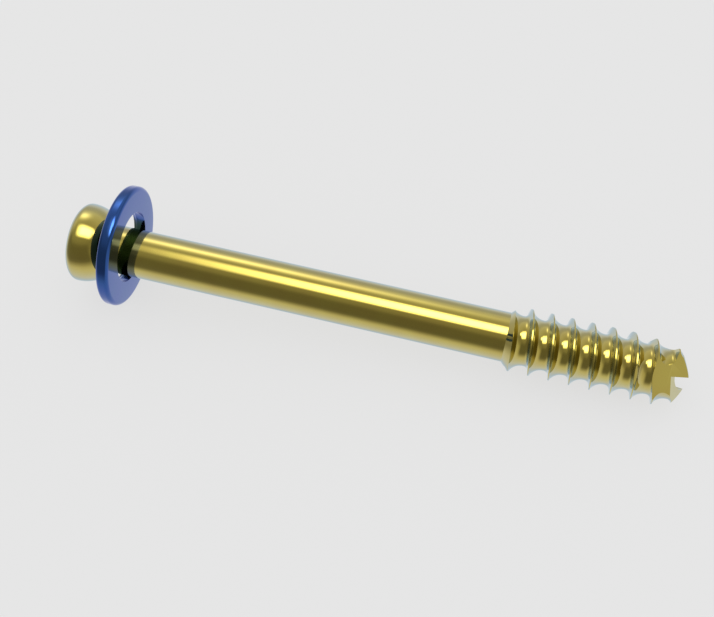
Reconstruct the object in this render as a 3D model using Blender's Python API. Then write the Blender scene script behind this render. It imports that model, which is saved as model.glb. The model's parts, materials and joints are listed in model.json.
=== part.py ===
"""Cannulated lag screw for bone, with its loose washer, lying at rest on its thread and the washer's rim.

Metres, +Z up. The screw is modelled along +X, from the drive end of its head at x = 0 to its tip,
and is then laid down, so that the washer's rim and one thread crest touch z = 0.
Angles about the screw's axis turn from +Y towards +Z.
"""
import itertools
import math

import bmesh
import bpy
from mathutils import Matrix, Vector

# Head, a ball underneath and a rounded crown on top
HEAD_DIAMETER = 0.00810
CROWN_HEIGHT = 0.00097
CROWN_ROUNDING = 0.00135
HEX_ACROSS_FLATS = 0.0040
HEX_DEPTH = 0.0028

# Shaft and the guide-wire hole right through it
SHAFT_DIAMETER = 0.00495
THREAD_START = 0.04483
CANNULA_DIAMETER = 0.00250

# Thread: a right-handed buttress form with a wide rounded groove
THREAD_DIAMETER = 0.00650
ROOT_DIAMETER = 0.00484
PITCH = 0.00200
THREAD_LENGTH = 0.01763
CREST_WIDTH = 0.00012
ROOT_FLAT = 0.00007
FLANK_FILLET = 0.00042
FLANK_ANGLE = math.radians(15.0)
CREST_AT_START = math.radians(53.1)
SHOULDER_ANGLE = math.radians(45.0)
GROOVE_LEAD = 0.00078
GROOVE_RUN_IN = 0.00166

# Tip: a drill point, with flat gashes and notched cutting teeth
POINT_ANGLE = math.radians(112.6)
TOOTH_COUNT = 3
GASH_SLOPE = math.radians(19.7)
GASH_FLOOR_AT_TIP = 0.00127
GASH_DIRECTION = math.radians(138.2)
TOOTH_DEPTH = 0.00036
TOOTH_RELIEF = math.radians(36.0)
TOOTH_LEAN = math.radians(9.0)
TOOTH_DIRECTION = math.radians(125.7)

# Washer, with a spherical seat for the head
WASHER_DIAMETER = 0.01240
WASHER_THICKNESS = 0.00130
WASHER_BORE = 0.00730
WASHER_ROUNDING = 0.00043
WASHER_PLACE = 0.00528
SEAT_DEPTH = 0.00040
BALL_CLEARANCE = 0.00005

# Gap between the shaft and the washer that carries it
SEAT_GAP = 0.00030

# Mesh fineness
SHAFT_SIDES = 48
THREAD_SIDES = 36
CANNULA_SIDES = 24
WASHER_SIDES = 64
GROOVE_STEPS = 4
FILLET_STEPS = 2
BALL_STEPS = 9
CROWN_STEPS = 5
ROUNDING_STEPS = 4
SEAT_STEPS = 2
SHARP_EDGE = math.radians(32.0)

# How far a cutter stands past what it cuts, and the width under which points are joined after a cut
OVERRUN = 0.0010
WELD = 0.0000002

# The search for the tilt at which the screw rests
STEEPEST_REST = math.radians(20.0)
HALVINGS = 40

HEAD_RADIUS = HEAD_DIAMETER / 2
SHAFT_RADIUS = SHAFT_DIAMETER / 2
CREST_RADIUS = THREAD_DIAMETER / 2
ROOT_RADIUS = ROOT_DIAMETER / 2
CANNULA_RADIUS = CANNULA_DIAMETER / 2
TIP_END = THREAD_START + THREAD_LENGTH
POINT_STEEPNESS = math.tan(POINT_ANGLE / 2)
POINT_APEX = TIP_END + CANNULA_RADIUS / POINT_STEEPNESS


def clear_scene():
    """Remove whatever the file opened with."""
    for old in list(bpy.data.objects):
        bpy.data.objects.remove(old, do_unlink=True)


def make_material(name, colour, roughness):
    """An anodised metal finish."""
    material = bpy.data.materials.new(name)
    material.use_nodes = True
    shader = material.node_tree.nodes["Principled BSDF"]
    shader.inputs["Base Color"].default_value = (*colour, 1.0)
    shader.inputs["Roughness"].default_value = roughness
    shader.inputs["Metallic"].default_value = 1.0
    return material


def add_object(name, bm):
    """Put a bmesh into the scene as a named object."""
    bmesh.ops.triangulate(bm, faces=bm.faces)
    bmesh.ops.recalc_face_normals(bm, faces=bm.faces)
    mesh = bpy.data.meshes.new(name)
    bm.to_mesh(mesh)
    bm.free()
    thing = bpy.data.objects.new(name, mesh)
    bpy.context.scene.collection.objects.link(thing)
    return thing


def arc(centre_x, centre_r, radius_x, radius_r, start, end, steps):
    """Points (x, r) along an arc of a circle or ellipse, from one angle to another."""
    points = []
    for step in range(steps + 1):
        angle = start + (end - start) * step / steps
        points.append((centre_x + radius_x * math.cos(angle), centre_r + radius_r * math.sin(angle)))
    return points


def turn(name, outline, sides, closed_ring=False):
    """Turn an outline of (x, r) points about the X axis; points at r = 0 become poles."""
    bm = bmesh.new()
    rings = []
    for x, r in outline:
        if r == 0.0:
            rings.append([bm.verts.new((x, 0.0, 0.0))])
            continue
        ring = []
        for side in range(sides):
            angle = 2 * math.pi * (side + 0.5) / sides
            ring.append(bm.verts.new((x, r * math.cos(angle), r * math.sin(angle))))
        rings.append(ring)
    pairs = list(zip(rings, rings[1:]))
    if closed_ring:
        pairs.append((rings[-1], rings[0]))
    for ring_a, ring_b in pairs:
        for side in range(sides):
            after = (side + 1) % sides
            corners = [ring_a[side % len(ring_a)], ring_a[after % len(ring_a)],
                       ring_b[after % len(ring_b)], ring_b[side % len(ring_b)]]
            bm.faces.new(list(dict.fromkeys(corners)))
    return add_object(name, bm)


def combine(target, tool, operation):
    """Apply a Boolean to the target and take the tool away."""
    modifier = target.modifiers.new(tool.name, "BOOLEAN")
    modifier.object = tool
    modifier.operation = operation
    modifier.solver = "EXACT"
    bpy.context.view_layer.update()
    evaluated = target.evaluated_get(bpy.context.evaluated_depsgraph_get())
    bm = bmesh.new()
    bm.from_mesh(bpy.data.meshes.new_from_object(evaluated))
    target.modifiers.clear()
    bmesh.ops.remove_doubles(bm, verts=bm.verts, dist=WELD)
    bmesh.ops.dissolve_degenerate(bm, dist=WELD, edges=bm.edges)
    bmesh.ops.triangulate(bm, faces=bm.faces)
    bm.to_mesh(target.data)
    bm.free()
    bpy.data.objects.remove(tool, do_unlink=True)


def screw_blank():
    """Head, plain shaft, thread shoulder, crest and drill point, turned in one piece."""
    flat_radius = HEAD_RADIUS - CROWN_ROUNDING
    ball_centre = CROWN_HEIGHT
    neck_angle = math.asin(SHAFT_RADIUS / HEAD_RADIUS)
    shoulder_end = THREAD_START + (CREST_RADIUS - SHAFT_RADIUS) / math.tan(SHOULDER_ANGLE)
    outline = [(0.0, 0.0)]
    outline += arc(ball_centre, flat_radius, CROWN_HEIGHT, CROWN_ROUNDING,
                   math.pi, math.pi / 2, CROWN_STEPS)
    outline += arc(ball_centre, 0.0, HEAD_RADIUS, HEAD_RADIUS,
                   math.pi / 2, neck_angle, BALL_STEPS)[1:]
    outline += [(THREAD_START, SHAFT_RADIUS), (shoulder_end, CREST_RADIUS),
                (POINT_APEX - CREST_RADIUS / POINT_STEEPNESS, CREST_RADIUS), (POINT_APEX, 0.0)]
    return turn("screw", outline, SHAFT_SIDES)


def groove_profile():
    """The thread's groove as (x, r), from one crest's edge to the next."""
    height = CREST_RADIUS - ROOT_RADIUS
    far_edge = PITCH - CREST_WIDTH / 2
    fillet_centre = (far_edge - (height - FLANK_FILLET) * math.tan(FLANK_ANGLE)
                     - FLANK_FILLET / math.cos(FLANK_ANGLE))
    sweep_centre = fillet_centre - ROOT_FLAT
    sweep_width = sweep_centre - CREST_WIDTH / 2
    sweep_radius = (sweep_width ** 2 + height ** 2) / (2 * height)
    steepest = math.pi + math.atan2(sweep_radius - height, sweep_width)
    points = arc(sweep_centre, ROOT_RADIUS + sweep_radius, sweep_radius, sweep_radius,
                 steepest, 1.5 * math.pi, GROOVE_STEPS)
    points += arc(fillet_centre, ROOT_RADIUS + FLANK_FILLET, FLANK_FILLET, FLANK_FILLET,
                  1.5 * math.pi, 2 * math.pi - FLANK_ANGLE, FILLET_STEPS)
    points.append((far_edge, CREST_RADIUS))
    return points


def groove_cutter():
    """The thread's groove, a ribbon wound round the blank that dips in from outside at the shoulder."""
    full_lift = CREST_RADIUS - ROOT_RADIUS + OVERRUN
    outer = CREST_RADIUS + full_lift + OVERRUN
    profile = groove_profile()
    lead_turns = math.ceil((GROOVE_LEAD + GROOVE_RUN_IN) / PITCH)
    first_crest = THREAD_START - lead_turns * PITCH - PITCH * CREST_AT_START / (2 * math.pi)
    turns = math.ceil((POINT_APEX + OVERRUN - first_crest) / PITCH)
    bm = bmesh.new()
    rows = []
    for step in range(turns * THREAD_SIDES + 1):
        angle = 2 * math.pi * step / THREAD_SIDES
        advance = first_crest + PITCH * step / THREAD_SIDES
        still_out = (THREAD_START - GROOVE_LEAD - advance) / GROOVE_RUN_IN
        lift = full_lift * min(max(still_out, 0.0), 1.0)
        section = [(x, r + lift) for x, r in profile]
        section += [(profile[-1][0], outer), (profile[0][0], outer)]
        row = [bm.verts.new((advance + x, r * math.cos(angle), r * math.sin(angle))) for x, r in section]
        rows.append(row)
    for this_row, next_row in zip(rows, rows[1:]):
        for column in range(len(this_row)):
            beside = column - 1
            bm.faces.new((this_row[beside], this_row[column], next_row[column], next_row[beside]))
    bm.faces.new(rows[0])
    bm.faces.new(rows[-1])
    cutter = add_object("groove_cutter", bm)
    cutter.hide_render = True
    cutter.display_type = "WIRE"
    return cutter


def box_cutter(name, low, high, matrix):
    """A box between two corners, placed by a matrix."""
    bm = bmesh.new()
    for corner in itertools.product(*zip(low, high)):
        bm.verts.new(matrix @ Vector(corner))
    bmesh.ops.convex_hull(bm, input=bm.verts)
    cutter = add_object(name, bm)
    cutter.hide_render = True
    cutter.display_type = "WIRE"
    return cutter


def gash_cutter(index):
    """A flat gash, whose floor slopes in towards the axis at the tip."""
    about = GASH_DIRECTION + 2 * math.pi * index / TOOTH_COUNT
    place = (Matrix.Rotation(about, 4, "X")
             @ Matrix.Translation((TIP_END, GASH_FLOOR_AT_TIP, 0.0))
             @ Matrix.Rotation(-GASH_SLOPE, 4, "Z"))
    reach = THREAD_LENGTH / 2
    low = (-reach, 0.0, -THREAD_DIAMETER)
    high = (reach, THREAD_DIAMETER, THREAD_DIAMETER)
    return box_cutter("gash_cutter", low, high, place)


def tooth_cutter(index):
    """A square notch in the point: its upright wall is the cutting face and its floor the relief."""
    about = TOOTH_DIRECTION + 2 * math.pi * index / TOOTH_COUNT
    lean = Matrix.Identity(4)
    lean[2][0] = -math.tan(TOOTH_LEAN)
    place = (Matrix.Rotation(about, 4, "X")
             @ Matrix.Translation((TIP_END - TOOTH_DEPTH, 0.0, 0.0))
             @ lean
             @ Matrix.Rotation(TOOTH_RELIEF, 4, "Z"))
    reach = THREAD_LENGTH / 2
    return box_cutter("tooth_cutter", (0.0, -reach, 0.0), (reach, reach, reach), place)


def hex_cutter():
    """The drive socket's hexagon."""
    bm = bmesh.new()
    corner = HEX_ACROSS_FLATS / math.sqrt(3)
    bmesh.ops.create_cone(bm, cap_ends=True, segments=6, radius1=corner, radius2=corner,
                          depth=HEX_DEPTH + OVERRUN)
    middle = (HEX_DEPTH - OVERRUN) / 2
    place = Matrix.Translation((middle, 0.0, 0.0)) @ Matrix.Rotation(math.pi / 2, 4, "Y")
    bmesh.ops.transform(bm, matrix=place, verts=bm.verts)
    return add_object("hex_cutter", bm)


def cannula_cutter():
    """The guide-wire hole."""
    low, high = -OVERRUN, TIP_END + OVERRUN
    outline = [(low, 0.0), (low, CANNULA_RADIUS), (high, CANNULA_RADIUS), (high, 0.0)]
    return turn("cannula_cutter", outline, CANNULA_SIDES)


def make_screw(material):
    """The whole screw: one turned, threaded, drilled and gashed piece."""
    screw = screw_blank()
    combine(screw, groove_cutter(), "DIFFERENCE")
    combine(screw, cannula_cutter(), "DIFFERENCE")
    combine(screw, hex_cutter(), "DIFFERENCE")
    for index in range(TOOTH_COUNT):
        combine(screw, gash_cutter(index), "DIFFERENCE")
        combine(screw, tooth_cutter(index), "DIFFERENCE")
    finish(screw, material)
    return screw


def make_washer(material):
    """The loose washer: rounded rim, plain bore and a spherical seat on the head's side."""
    half = WASHER_THICKNESS / 2
    outer = WASHER_DIAMETER / 2 - WASHER_ROUNDING
    bore = WASHER_BORE / 2
    seat_radius = HEAD_RADIUS + BALL_CLEARANCE
    bore_from_centre = math.sqrt(seat_radius ** 2 - bore ** 2)
    face_from_centre = bore_from_centre - SEAT_DEPTH
    seat_centre = -half - face_from_centre
    round_in = half - WASHER_ROUNDING
    outline = arc(seat_centre, 0.0, seat_radius, seat_radius,
                  math.acos(face_from_centre / seat_radius),
                  math.acos(bore_from_centre / seat_radius), SEAT_STEPS)
    outline.append((half, bore))
    outline += arc(round_in, outer, WASHER_ROUNDING, WASHER_ROUNDING, 0.0, math.pi / 2, ROUNDING_STEPS)
    outline += arc(-round_in, outer, WASHER_ROUNDING, WASHER_ROUNDING, math.pi / 2, math.pi,
                   ROUNDING_STEPS)
    washer = turn("washer", outline, WASHER_SIDES, closed_ring=True)
    finish(washer, material)
    return washer


def finish(thing, material):
    """One material, with smooth shading up to the sharp edges."""
    thing.data.materials.clear()
    thing.data.materials.append(material)
    thing.data.shade_smooth()
    thing.data.set_sharp_from_angle(angle=SHARP_EDGE)


def lowest(points, tilt):
    """Height of the lowest point once the axis is tipped down towards +X by the tilt."""
    return min(point.z * math.cos(tilt) - point.x * math.sin(tilt) for point in points)


def resting_tilt(washer_points, screw_points):
    """The tilt at which washer and screw touch the surface together, found by halving."""
    level, steep = 0.0, STEEPEST_REST
    for _ in range(HALVINGS):
        tilt = (level + steep) / 2
        if lowest(screw_points, tilt) > lowest(washer_points, tilt):
            level = tilt
        else:
            steep = tilt
    return level


def lay_down(screw, washer):
    """Hang the screw in the washer, and stand both on z = 0 about the origin."""
    lift = WASHER_BORE / 2 - SHAFT_RADIUS - SEAT_GAP
    washer_place = Vector((WASHER_PLACE, 0.0, lift))
    washer_points = [vertex.co + washer_place for vertex in washer.data.vertices]
    screw_points = [vertex.co.copy() for vertex in screw.data.vertices]
    tilt = resting_tilt(washer_points, screw_points)
    turned = Matrix.Rotation(tilt, 4, "Y")
    laid = [turned @ point for point in washer_points + screw_points]
    middle_x = (min(point.x for point in laid) + max(point.x for point in laid)) / 2
    middle_y = (min(point.y for point in laid) + max(point.y for point in laid)) / 2
    bottom = min(point.z for point in laid)
    holder = bpy.data.objects.new("rest_frame", None)
    bpy.context.scene.collection.objects.link(holder)
    holder.matrix_world = Matrix.Translation((-middle_x, -middle_y, -bottom)) @ turned
    screw.parent = holder
    washer.parent = holder
    washer.location = washer_place


def main():
    clear_scene()
    gold = make_material("gold_anodised", (0.46, 0.36, 0.07), 0.22)
    blue = make_material("blue_anodised", (0.10, 0.14, 0.45), 0.25)
    lay_down(make_screw(gold), make_washer(blue))


main()
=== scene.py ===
"""Gold anodised bone screw with its blue anodised washer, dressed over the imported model.

Metres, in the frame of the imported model. The screw is made along +X from the drive end of its head, with
angles about its axis from +Y towards +Z, and is then laid where the record's mounts say.
"""

import itertools
import json
import math

import bmesh
import bpy
from mathutils import Matrix, Vector


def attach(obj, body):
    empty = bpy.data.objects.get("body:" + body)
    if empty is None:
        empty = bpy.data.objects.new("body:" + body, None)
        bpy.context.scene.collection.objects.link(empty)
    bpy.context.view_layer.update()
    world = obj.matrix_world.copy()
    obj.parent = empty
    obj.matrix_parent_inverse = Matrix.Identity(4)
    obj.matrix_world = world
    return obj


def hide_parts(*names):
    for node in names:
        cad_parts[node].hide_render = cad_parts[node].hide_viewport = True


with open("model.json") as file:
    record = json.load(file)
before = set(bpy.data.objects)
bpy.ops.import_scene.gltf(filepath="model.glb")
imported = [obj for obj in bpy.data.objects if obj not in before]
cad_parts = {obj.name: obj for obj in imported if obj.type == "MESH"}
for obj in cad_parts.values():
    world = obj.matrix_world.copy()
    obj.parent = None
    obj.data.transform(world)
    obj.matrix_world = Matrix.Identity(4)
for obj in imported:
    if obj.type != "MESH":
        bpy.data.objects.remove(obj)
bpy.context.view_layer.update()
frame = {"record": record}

# Sizes, as in the part
HEAD_RADIUS = 0.00405
CROWN_HEIGHT = 0.00097
CROWN_ROUNDING = 0.00135
HEX_ACROSS_FLATS = 0.0040
HEX_DEPTH = 0.0028
SHAFT_RADIUS = 0.002475
CANNULA_RADIUS = 0.00125
THREAD_START = 0.04483
THREAD_LENGTH = 0.01763
TIP_END = THREAD_START + THREAD_LENGTH
CREST_RADIUS = 0.00325
ROOT_RADIUS = 0.00242
PITCH = 0.00200
CREST_WIDTH = 0.00012
ROOT_FLAT = 0.00007
FLANK_FILLET = 0.00042
FLANK_ANGLE = math.radians(15.0)
CREST_AT_START = math.radians(53.1)
SHOULDER_ANGLE = math.radians(45.0)
GROOVE_LEAD = 0.00078
GROOVE_RUN_IN = 0.00166
POINT_ANGLE = math.radians(112.6)
POINT_STEEPNESS = math.tan(POINT_ANGLE / 2)
POINT_APEX = TIP_END + CANNULA_RADIUS / POINT_STEEPNESS
TOOTH_COUNT = 3
GASH_SLOPE = math.radians(19.7)
GASH_FLOOR_AT_TIP = 0.00127
GASH_DIRECTION = math.radians(138.2)
TOOTH_DEPTH = 0.00036
TOOTH_RELIEF = math.radians(36.0)
TOOTH_LEAN = math.radians(9.0)
TOOTH_DIRECTION = math.radians(125.7)
WASHER_RADIUS = 0.0062
WASHER_THICKNESS = 0.00130
BORE_RADIUS = 0.00365
WASHER_ROUNDING = 0.00043
WASHER_PLACE = 0.00528
SEAT_DEPTH = 0.00040
BALL_CLEARANCE = 0.00005
SEAT_GAP = 0.00030

# How far the record's drive_end mount lies off the screw's axis
MOUNT_OFFSET = 0.0025

# How far a cutter stands past what it cuts, and the width under which points are joined after a cut
OVERRUN = 0.0010
WELD = 0.0000002

# Mesh fineness
SHAFT_SIDES = 144
THREAD_SIDES = 96
CANNULA_SIDES = 72
WASHER_SIDES = 256
CROWN_STEPS = 16
BALL_STEPS = 28
SEAT_STEPS = 6
ROUNDING_STEPS = 12
GROOVE_STEPS = 14
FLANK_STEPS = 2
FILLET_STEPS = 6
SHARP_EDGE = math.radians(24.0)

# Anodised films: reflected colour from facing (0) to grazing (1)
GOLD_FILM = ((0.00, (0.463, 0.363, 0.071)), (0.10, (0.470, 0.375, 0.080)), (0.20, (0.530, 0.430, 0.108)),
             (0.30, (0.599, 0.499, 0.153)), (0.38, (0.601, 0.521, 0.199)), (0.49, (0.603, 0.550, 0.274)),
             (0.57, (0.587, 0.555, 0.333)), (0.66, (0.482, 0.513, 0.401)), (0.79, (0.303, 0.445, 0.496)),
             (1.00, (0.300, 0.500, 0.600)))
BLUE_FILM = ((0.00, (0.033, 0.091, 0.300)), (0.30, (0.043, 0.108, 0.345)), (0.60, (0.070, 0.130, 0.405)),
             (0.70, (0.083, 0.146, 0.428)), (0.80, (0.130, 0.180, 0.470)), (1.00, (0.260, 0.310, 0.600)))
GOLD_ROUGHNESS = 0.06
BLUE_ROUGHNESS = 0.08
CLOUD_SCALE = 420.0
HUE_SPREAD = 0.02
VALUE_SPREAD = 0.10
GRAIN_SCALE = 9000.0
ROUGHNESS_SPREAD = 0.06
GRAIN_STRENGTH = 0.02
GRAIN_DEPTH = 0.00002

# What the metal reflects: the room's brightness by elevation in degrees, on the camera's side,
# on the far side, and past the tip on the camera's side
ROOM_SIDES = {
    "near": ((-90, 0.80), (-40, 0.79), (-30, 0.74), (-24, 0.63), (-17, 0.45), (-9, 0.26), (-1, 0.22),
             (30, 0.23), (38, 0.27), (45, 0.36), (53, 0.43), (62, 0.46), (90, 0.60)),
    "far": ((-90, 0.80), (-30, 0.86), (-18, 0.84), (-10, 0.78), (-2, 0.68), (6, 0.55), (14, 0.52),
            (22, 0.56), (30, 0.68), (50, 0.70), (90, 0.60)),
    "end": ((-90, 0.80), (-20, 0.78), (8, 0.75), (18, 0.70), (30, 0.45), (45, 0.36), (90, 0.60)),
}
NEAR_TO_FAR = (-0.35, 0.35)
TOWARDS_TIP = (0.42, 0.78)
ONLY_NEAR = (0.1, -0.3)

# Softbox edges, as slopes of the direction away from straight up: dark at the first, bright at the second
SOFTBOX_LEFT = (-0.36, 0.02)
SOFTBOX_RIGHT = (0.70, 0.40)
SOFTBOX_NEAR = (-0.58, -0.24)
SOFTBOX_FAR = (0.28, -0.04)
SOFTBOX_HORIZON = (0.2, 0.4)

# The softbox's strength up to the ray depth of a first reflection, and in a reflection of a reflection
SOFTBOX_STRENGTH = 6.2
SOFTBOX_STRENGTH_AGAIN = 1.8
FIRST_REFLECTIONS = 2.5

# Small lamps: azimuth and elevation in degrees, tightness and strength
LAMPS = ((109.0, 48.0, 56.0, 1.55), (-1.0, 55.0, 260.0, 7.0))

# Pale ground of the photograph, and how much of the floor shows it plain, with no shadow
PALE = (0.791, 0.791, 0.791, 1.0)
WHITE = (1.0, 1.0, 1.0, 1.0)
PLAIN_SHARE = 0.85
FLOOR_SIZE = 2.0
FLOOR_CELLS = 8

# Camera: its focal length, its axes in terms of the screw's, and the washer's centre as it sees it
LENS = 53.57
SENSOR_WIDTH = 36.0
CAMERA_TURN = math.radians(125.67)
CAMERA_AXES = Matrix(((0.96851, -0.11327, -0.22172), (-0.22021, 0.02575, -0.97511),
                      (0.11616, 0.99323, 0.0)))
SOLVED_WASHER_PLACE = 0.005283
WASHER_IN_VIEW = Vector((-0.02364, 0.00590, -0.10915))


def add_object(name, bm):
    """Put a bmesh into the scene as a named object."""
    bmesh.ops.triangulate(bm, faces=bm.faces)
    bmesh.ops.recalc_face_normals(bm, faces=bm.faces)
    mesh = bpy.data.meshes.new(name)
    bm.to_mesh(mesh)
    bm.free()
    thing = bpy.data.objects.new(name, mesh)
    bpy.context.scene.collection.objects.link(thing)
    return thing


def arc(centre_x, centre_r, radius_x, radius_r, start, end, steps):
    """Points (x, r) along an arc of a circle or ellipse, from one angle to another."""
    points = []
    for step in range(steps + 1):
        angle = start + (end - start) * step / steps
        points.append((centre_x + radius_x * math.cos(angle), centre_r + radius_r * math.sin(angle)))
    return points


def turn(name, outline, sides, closed_ring=False):
    """Turn an outline of (x, r) points about the X axis; points at r = 0 become poles."""
    bm = bmesh.new()
    rings = []
    for x, r in outline:
        if r == 0.0:
            rings.append([bm.verts.new((x, 0.0, 0.0))])
            continue
        ring = []
        for side in range(sides):
            angle = 2 * math.pi * (side + 0.5) / sides
            ring.append(bm.verts.new((x, r * math.cos(angle), r * math.sin(angle))))
        rings.append(ring)
    pairs = list(zip(rings, rings[1:]))
    if closed_ring:
        pairs.append((rings[-1], rings[0]))
    for ring_a, ring_b in pairs:
        for side in range(sides):
            after = (side + 1) % sides
            corners = [ring_a[side % len(ring_a)], ring_a[after % len(ring_a)],
                       ring_b[after % len(ring_b)], ring_b[side % len(ring_b)]]
            bm.faces.new(list(dict.fromkeys(corners)))
    return add_object(name, bm)


def combine(target, tool, operation):
    """Apply a Boolean to the target, close the slivers that it leaves, and take the tool away."""
    modifier = target.modifiers.new(tool.name, "BOOLEAN")
    modifier.object = tool
    modifier.operation = operation
    modifier.solver = "EXACT"
    bpy.context.view_layer.update()
    evaluated = target.evaluated_get(bpy.context.evaluated_depsgraph_get())
    bm = bmesh.new()
    bm.from_mesh(bpy.data.meshes.new_from_object(evaluated))
    target.modifiers.clear()
    bmesh.ops.remove_doubles(bm, verts=bm.verts, dist=WELD)
    bmesh.ops.dissolve_degenerate(bm, dist=WELD, edges=bm.edges)
    bmesh.ops.triangulate(bm, faces=bm.faces)
    bm.to_mesh(target.data)
    bm.free()
    bpy.data.objects.remove(tool, do_unlink=True)


def screw_blank():
    """Head, plain shaft, thread shoulder, crest and drill point, turned in one piece."""
    neck_angle = math.asin(SHAFT_RADIUS / HEAD_RADIUS)
    shoulder_end = THREAD_START + (CREST_RADIUS - SHAFT_RADIUS) / math.tan(SHOULDER_ANGLE)
    outline = [(0.0, 0.0)]
    outline += arc(CROWN_HEIGHT, HEAD_RADIUS - CROWN_ROUNDING, CROWN_HEIGHT, CROWN_ROUNDING,
                   math.pi, math.pi / 2, CROWN_STEPS)
    outline += arc(CROWN_HEIGHT, 0.0, HEAD_RADIUS, HEAD_RADIUS,
                   math.pi / 2, neck_angle, BALL_STEPS)[1:]
    outline += [(THREAD_START, SHAFT_RADIUS), (shoulder_end, CREST_RADIUS),
                (POINT_APEX - CREST_RADIUS / POINT_STEEPNESS, CREST_RADIUS), (POINT_APEX, 0.0)]
    return turn("screw_finish", outline, SHAFT_SIDES)


def groove_profile():
    """The thread's groove as (x, r), from one crest's edge to the next."""
    height = CREST_RADIUS - ROOT_RADIUS
    far_edge = PITCH - CREST_WIDTH / 2
    fillet_centre = (far_edge - (height - FLANK_FILLET) * math.tan(FLANK_ANGLE)
                     - FLANK_FILLET / math.cos(FLANK_ANGLE))
    sweep_centre = fillet_centre - ROOT_FLAT
    sweep_width = sweep_centre - CREST_WIDTH / 2
    sweep_radius = (sweep_width ** 2 + height ** 2) / (2 * height)
    steepest = math.pi + math.atan2(sweep_radius - height, sweep_width)
    points = arc(sweep_centre, ROOT_RADIUS + sweep_radius, sweep_radius, sweep_radius,
                 steepest, 1.5 * math.pi, GROOVE_STEPS)
    points += arc(fillet_centre, ROOT_RADIUS + FLANK_FILLET, FLANK_FILLET, FLANK_FILLET,
                  1.5 * math.pi, 2 * math.pi - FLANK_ANGLE, FILLET_STEPS)
    last_x, last_r = points[-1]
    for step in range(1, FLANK_STEPS + 1):
        share = step / FLANK_STEPS
        points.append((last_x + (far_edge - last_x) * share, last_r + (CREST_RADIUS - last_r) * share))
    return points


def groove_cutter():
    """The thread's groove, a ribbon wound round the blank that dips in from outside at the shoulder."""
    full_lift = CREST_RADIUS - ROOT_RADIUS + OVERRUN
    outer = CREST_RADIUS + full_lift + OVERRUN
    profile = groove_profile()
    lead_turns = math.ceil((GROOVE_LEAD + GROOVE_RUN_IN) / PITCH)
    first_crest = THREAD_START - lead_turns * PITCH - PITCH * CREST_AT_START / (2 * math.pi)
    turns = math.ceil((POINT_APEX + OVERRUN - first_crest) / PITCH)
    bm = bmesh.new()
    rows = []
    for step in range(turns * THREAD_SIDES + 1):
        angle = 2 * math.pi * step / THREAD_SIDES
        advance = first_crest + PITCH * step / THREAD_SIDES
        still_out = (THREAD_START - GROOVE_LEAD - advance) / GROOVE_RUN_IN
        lift = full_lift * min(max(still_out, 0.0), 1.0)
        section = [(x, r + lift) for x, r in profile]
        section += [(profile[-1][0], outer), (profile[0][0], outer)]
        row = [bm.verts.new((advance + x, r * math.cos(angle), r * math.sin(angle))) for x, r in section]
        rows.append(row)
    for this_row, next_row in zip(rows, rows[1:]):
        for column in range(len(this_row)):
            beside = column - 1
            bm.faces.new((this_row[beside], this_row[column], next_row[column], next_row[beside]))
    bm.faces.new(rows[0])
    bm.faces.new(rows[-1])
    return add_object("groove_cutter", bm)


def box_cutter(name, low, high, matrix):
    """A box between two corners, placed by a matrix."""
    bm = bmesh.new()
    for corner in itertools.product(*zip(low, high)):
        bm.verts.new(matrix @ Vector(corner))
    bmesh.ops.convex_hull(bm, input=bm.verts)
    return add_object(name, bm)


def gash_cutter(index):
    """A flat gash, whose floor slopes in towards the axis at the tip."""
    about = GASH_DIRECTION + 2 * math.pi * index / TOOTH_COUNT
    place = (Matrix.Rotation(about, 4, "X")
             @ Matrix.Translation((TIP_END, GASH_FLOOR_AT_TIP, 0.0))
             @ Matrix.Rotation(-GASH_SLOPE, 4, "Z"))
    reach = THREAD_LENGTH / 2
    low = (-reach, 0.0, -2 * CREST_RADIUS)
    high = (reach, 2 * CREST_RADIUS, 2 * CREST_RADIUS)
    return box_cutter("gash_cutter", low, high, place)


def tooth_cutter(index):
    """A square notch in the point: its upright wall is the cutting face and its floor the relief."""
    about = TOOTH_DIRECTION + 2 * math.pi * index / TOOTH_COUNT
    lean = Matrix.Identity(4)
    lean[2][0] = -math.tan(TOOTH_LEAN)
    place = (Matrix.Rotation(about, 4, "X")
             @ Matrix.Translation((TIP_END - TOOTH_DEPTH, 0.0, 0.0))
             @ lean
             @ Matrix.Rotation(TOOTH_RELIEF, 4, "Z"))
    reach = THREAD_LENGTH / 2
    return box_cutter("tooth_cutter", (0.0, -reach, 0.0), (reach, reach, reach), place)


def hex_cutter():
    """The drive socket's hexagon."""
    bm = bmesh.new()
    corner = HEX_ACROSS_FLATS / math.sqrt(3)
    bmesh.ops.create_cone(bm, cap_ends=True, segments=6, radius1=corner, radius2=corner,
                          depth=HEX_DEPTH + OVERRUN)
    middle = (HEX_DEPTH - OVERRUN) / 2
    place = Matrix.Translation((middle, 0.0, 0.0)) @ Matrix.Rotation(math.pi / 2, 4, "Y")
    bmesh.ops.transform(bm, matrix=place, verts=bm.verts)
    return add_object("hex_cutter", bm)


def cannula_cutter():
    """The guide-wire hole."""
    low, high = -OVERRUN, TIP_END + OVERRUN
    outline = [(low, 0.0), (low, CANNULA_RADIUS), (high, CANNULA_RADIUS), (high, 0.0)]
    return turn("cannula_cutter", outline, CANNULA_SIDES)


def make_screw():
    """The whole screw: one turned, threaded, drilled and gashed piece."""
    screw = screw_blank()
    combine(screw, groove_cutter(), "DIFFERENCE")
    combine(screw, cannula_cutter(), "DIFFERENCE")
    combine(screw, hex_cutter(), "DIFFERENCE")
    for index in range(TOOTH_COUNT):
        combine(screw, gash_cutter(index), "DIFFERENCE")
        combine(screw, tooth_cutter(index), "DIFFERENCE")
    return screw


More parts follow.
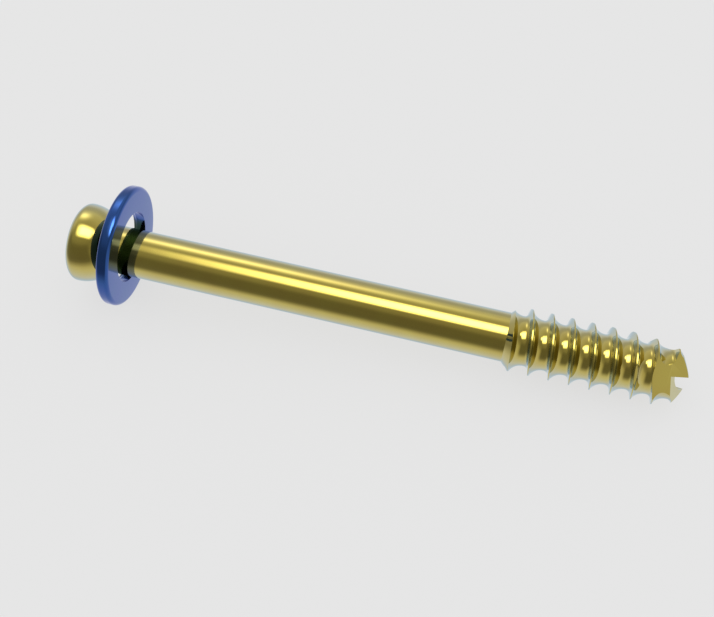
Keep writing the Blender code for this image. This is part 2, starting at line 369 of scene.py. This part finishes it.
def make_washer():
    """The loose washer: rounded rim, plain bore and a spherical seat on the head's side."""
    half = WASHER_THICKNESS / 2
    outer = WASHER_RADIUS - WASHER_ROUNDING
    seat_radius = HEAD_RADIUS + BALL_CLEARANCE
    bore_from_centre = math.sqrt(seat_radius ** 2 - BORE_RADIUS ** 2)
    face_from_centre = bore_from_centre - SEAT_DEPTH
    seat_centre = -half - face_from_centre
    round_in = half - WASHER_ROUNDING
    outline = arc(seat_centre, 0.0, seat_radius, seat_radius,
                  math.acos(face_from_centre / seat_radius),
                  math.acos(bore_from_centre / seat_radius), SEAT_STEPS)
    outline.append((half, BORE_RADIUS))
    outline += arc(round_in, outer, WASHER_ROUNDING, WASHER_ROUNDING,
                   0.0, math.pi / 2, ROUNDING_STEPS)
    outline += arc(-round_in, outer, WASHER_ROUNDING, WASHER_ROUNDING,
                   math.pi / 2, math.pi, ROUNDING_STEPS)
    return turn("washer_finish", outline, WASHER_SIDES, closed_ring=True)


def smooth(thing):
    """Smooth shading up to the sharp edges."""
    thing.data.shade_smooth()
    thing.data.set_sharp_from_angle(angle=SHARP_EDGE)


class Nodes:
    """A short way to write shader nodes."""

    def __init__(self, tree):
        self.tree = tree

    def new(self, kind, **settings):
        node = self.tree.nodes.new(kind)
        for name, value in settings.items():
            setattr(node, name, value)
        return node

    def put(self, value, socket):
        if isinstance(value, bpy.types.NodeSocket):
            self.tree.links.new(value, socket)
        else:
            socket.default_value = value

    def math(self, operation, *values):
        node = self.new("ShaderNodeMath", operation=operation)
        for value, socket in zip(values, node.inputs):
            self.put(value, socket)
        return node.outputs[0]

    def smoothstep(self, value, low, high):
        node = self.new("ShaderNodeMapRange", interpolation_type="SMOOTHSTEP")
        for item, name in ((value, "Value"), (low, "From Min"), (high, "From Max")):
            self.put(item, node.inputs[name])
        return node.outputs[0]

    def blend(self, factor, first, second):
        node = self.new("ShaderNodeMix", data_type="RGBA")
        self.put(factor, node.inputs[0])
        self.put(first, node.inputs[6])
        self.put(second, node.inputs[7])
        return node.outputs[2]

    def ramp(self, value, stops):
        node = self.new("ShaderNodeValToRGB")
        elements = node.color_ramp.elements
        while len(elements) < len(stops):
            elements.new(0.5)
        for element, (place, colour) in zip(elements, stops):
            element.position = place
            element.color = (*colour, 1.0)
        self.put(value, node.inputs[0])
        return node.outputs[0]


def grey(value):
    """A colour of one brightness."""
    return (value, value, value)


def anodised(name, stops, roughness):
    """Anodised metal: its reflection changes hue towards grazing angles, as an oxide film's does."""
    material = bpy.data.materials.new(name)
    material.use_nodes = True
    nodes = Nodes(material.node_tree)
    shader = material.node_tree.nodes["Principled BSDF"]
    facing = nodes.new("ShaderNodeLayerWeight")
    facing.inputs["Blend"].default_value = 0.5
    film = nodes.ramp(facing.outputs["Facing"], stops)
    place = nodes.new("ShaderNodeTexCoord").outputs["Object"]
    cloud = nodes.new("ShaderNodeTexNoise")
    cloud.inputs["Scale"].default_value = CLOUD_SCALE
    cloud.inputs["Detail"].default_value = 3.0
    nodes.put(place, cloud.inputs["Vector"])
    tint = nodes.new("ShaderNodeHueSaturation")
    nodes.put(nodes.math("MULTIPLY_ADD", cloud.outputs[0], HUE_SPREAD, 0.5 - HUE_SPREAD / 2),
              tint.inputs["Hue"])
    nodes.put(nodes.math("MULTIPLY_ADD", cloud.outputs[0], VALUE_SPREAD, 1.0 - VALUE_SPREAD / 2),
              tint.inputs["Value"])
    nodes.put(film, tint.inputs["Color"])
    nodes.put(tint.outputs[0], shader.inputs["Base Color"])
    shader.inputs["Metallic"].default_value = 1.0
    grain = nodes.new("ShaderNodeTexNoise")
    grain.inputs["Scale"].default_value = GRAIN_SCALE
    grain.inputs["Detail"].default_value = 4.0
    nodes.put(place, grain.inputs["Vector"])
    least = roughness - ROUGHNESS_SPREAD / 2
    nodes.put(nodes.math("MULTIPLY_ADD", grain.outputs[0], ROUGHNESS_SPREAD, least),
              shader.inputs["Roughness"])
    bump = nodes.new("ShaderNodeBump")
    bump.inputs["Strength"].default_value = GRAIN_STRENGTH
    bump.inputs["Distance"].default_value = GRAIN_DEPTH
    nodes.put(grain.outputs[0], bump.inputs["Height"])
    nodes.put(bump.outputs[0], shader.inputs["Normal"])
    return material


def make_world():
    """A grey studio with an overhead softbox and two small lamps, as the metal reflects it."""
    world = bpy.data.worlds.new("studio")
    bpy.context.scene.world = world
    world.use_nodes = True
    nodes = Nodes(world.node_tree)
    background = world.node_tree.nodes["Background"]
    direction = nodes.new("ShaderNodeTexCoord").outputs["Generated"]
    split = nodes.new("ShaderNodeSeparateXYZ")
    nodes.put(direction, split.inputs[0])
    x, y, z = split.outputs
    height = nodes.math("MULTIPLY_ADD", z, 0.5, 0.5)
    sides = {}
    for side, heights in ROOM_SIDES.items():
        stops = [((math.sin(math.radians(angle)) + 1) / 2, grey(value)) for angle, value in heights]
        sides[side] = nodes.ramp(height, stops)
    room = nodes.blend(nodes.smoothstep(y, *NEAR_TO_FAR), sides["near"], sides["far"])
    level_squared = nodes.math("SUBTRACT", 1.0, nodes.math("MULTIPLY", z, z))
    level = nodes.math("SQRT", nodes.math("MAXIMUM", level_squared, 0.01))
    towards_tip = nodes.smoothstep(nodes.math("DIVIDE", x, level), *TOWARDS_TIP)
    near_only = nodes.smoothstep(y, *ONLY_NEAR)
    room = nodes.blend(nodes.math("MULTIPLY", towards_tip, near_only), room, sides["end"])
    over = nodes.math("MAXIMUM", z, 0.05)
    across = nodes.math("DIVIDE", x, over)
    along = nodes.math("DIVIDE", y, over)
    softbox = nodes.smoothstep(across, *SOFTBOX_LEFT)
    for edge in (nodes.smoothstep(across, *SOFTBOX_RIGHT), nodes.smoothstep(along, *SOFTBOX_NEAR),
                 nodes.smoothstep(along, *SOFTBOX_FAR), nodes.smoothstep(z, *SOFTBOX_HORIZON)):
        softbox = nodes.math("MULTIPLY", softbox, edge)
    path = nodes.new("ShaderNodeLightPath")
    straight = nodes.math("LESS_THAN", path.outputs["Ray Depth"], FIRST_REFLECTIONS)
    lights = nodes.math("MULTIPLY", softbox, nodes.math(
        "MULTIPLY_ADD", straight, SOFTBOX_STRENGTH - SOFTBOX_STRENGTH_AGAIN, SOFTBOX_STRENGTH_AGAIN))
    for azimuth, elevation, tightness, strength in LAMPS:
        azimuth, elevation = math.radians(azimuth), math.radians(elevation)
        towards = nodes.new("ShaderNodeVectorMath", operation="DOT_PRODUCT")
        nodes.put(direction, towards.inputs[0])
        towards.inputs[1].default_value = (math.cos(azimuth) * math.cos(elevation),
                                           math.sin(azimuth) * math.cos(elevation), math.sin(elevation))
        away = nodes.math("SUBTRACT", towards.outputs["Value"], 1.0)
        small = nodes.math("POWER", math.e, nodes.math("MULTIPLY", away, tightness))
        lights = nodes.math("MULTIPLY_ADD", small, strength, lights)
    total = nodes.new("ShaderNodeMix", data_type="RGBA", blend_type="ADD")
    total.inputs[0].default_value = 1.0
    nodes.put(room, total.inputs[6])
    nodes.put(lights, total.inputs[7])
    plain = nodes.blend(path.outputs["Is Glossy Ray"], WHITE, total.outputs[2])
    seen = nodes.blend(path.outputs["Is Camera Ray"], plain, PALE)
    nodes.put(seen, background.inputs["Color"])
    background.inputs["Strength"].default_value = 1.0


def make_floor():
    """A wide pale floor, which keeps the shadow; the metal's reflection of it is the world's lower half."""
    bm = bmesh.new()
    bmesh.ops.create_grid(bm, x_segments=FLOOR_CELLS, y_segments=FLOOR_CELLS, size=FLOOR_SIZE)
    floor = add_object("floor", bm)
    material = bpy.data.materials.new("pale_floor")
    material.use_nodes = True
    nodes = Nodes(material.node_tree)
    shader = material.node_tree.nodes["Principled BSDF"]
    shader.inputs["Base Color"].default_value = PALE
    shader.inputs["Roughness"].default_value = 1.0
    shader.inputs["Specular IOR Level"].default_value = 0.0
    plain = nodes.new("ShaderNodeEmission")
    plain.inputs["Color"].default_value = PALE
    path = nodes.new("ShaderNodeLightPath")
    mix = nodes.new("ShaderNodeMixShader")
    nodes.put(nodes.math("MULTIPLY", path.outputs["Is Camera Ray"], PLAIN_SHARE), mix.inputs[0])
    nodes.put(shader.outputs[0], mix.inputs[1])
    nodes.put(plain.outputs[0], mix.inputs[2])
    nodes.put(mix.outputs[0], material.node_tree.nodes["Material Output"].inputs["Surface"])
    floor.data.materials.append(material)
    floor.visible_glossy = False


def make_camera(place):
    """The photograph's camera, solved from the outlines of the shaft, the washer and the head."""
    camera = bpy.data.cameras.new("camera")
    camera.lens = LENS
    camera.sensor_width = SENSOR_WIDTH
    camera.clip_start = 0.001
    camera.clip_end = 10.0
    turned = Matrix.Rotation(CAMERA_TURN, 3, "X")
    rotation = place.to_3x3() @ turned @ CAMERA_AXES.transposed()
    centre = place @ Vector((SOLVED_WASHER_PLACE, 0.0, 0.0))
    location = centre - rotation @ WASHER_IN_VIEW
    thing = bpy.data.objects.new("camera", camera)
    bpy.context.scene.collection.objects.link(thing)
    thing.matrix_world = Matrix.Translation(location) @ rotation.to_4x4()
    bpy.context.scene.camera = thing


def screw_place():
    """Where the screw lies: from its own axes to the frame's."""
    mounts = {mount["name"]: mount for mount in frame["record"]["mounts"]}
    drive = mounts["drive_end"]
    axis = -Vector(drive["axis"]).normalized()
    side = Vector((0.0, 1.0, 0.0))
    upward = axis.cross(side)
    origin = Vector(drive["pos_m"]) - MOUNT_OFFSET * upward
    place = Matrix((axis, side, upward)).transposed().to_4x4()
    place.translation = origin
    return place


place = screw_place()
screw = make_screw()
washer = make_washer()
lift = BORE_RADIUS - SHAFT_RADIUS - SEAT_GAP
screw.data.transform(place)
washer.data.transform(place @ Matrix.Translation((WASHER_PLACE, 0.0, lift)))
for thing, node, slot, material in (
        (screw, "screw", "gold_anodised", anodised("gold_anodised_film", GOLD_FILM, GOLD_ROUGHNESS)),
        (washer, "washer", "blue_anodised", anodised("blue_anodised_film", BLUE_FILM, BLUE_ROUGHNESS))):
    smooth(thing)
    thing.data.materials.clear()
    thing.data.materials.append(material)
    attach(thing, "root")
    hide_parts(node)

make_floor()
make_world()
make_camera(place)
bpy.context.scene.view_settings.view_transform = "Standard"
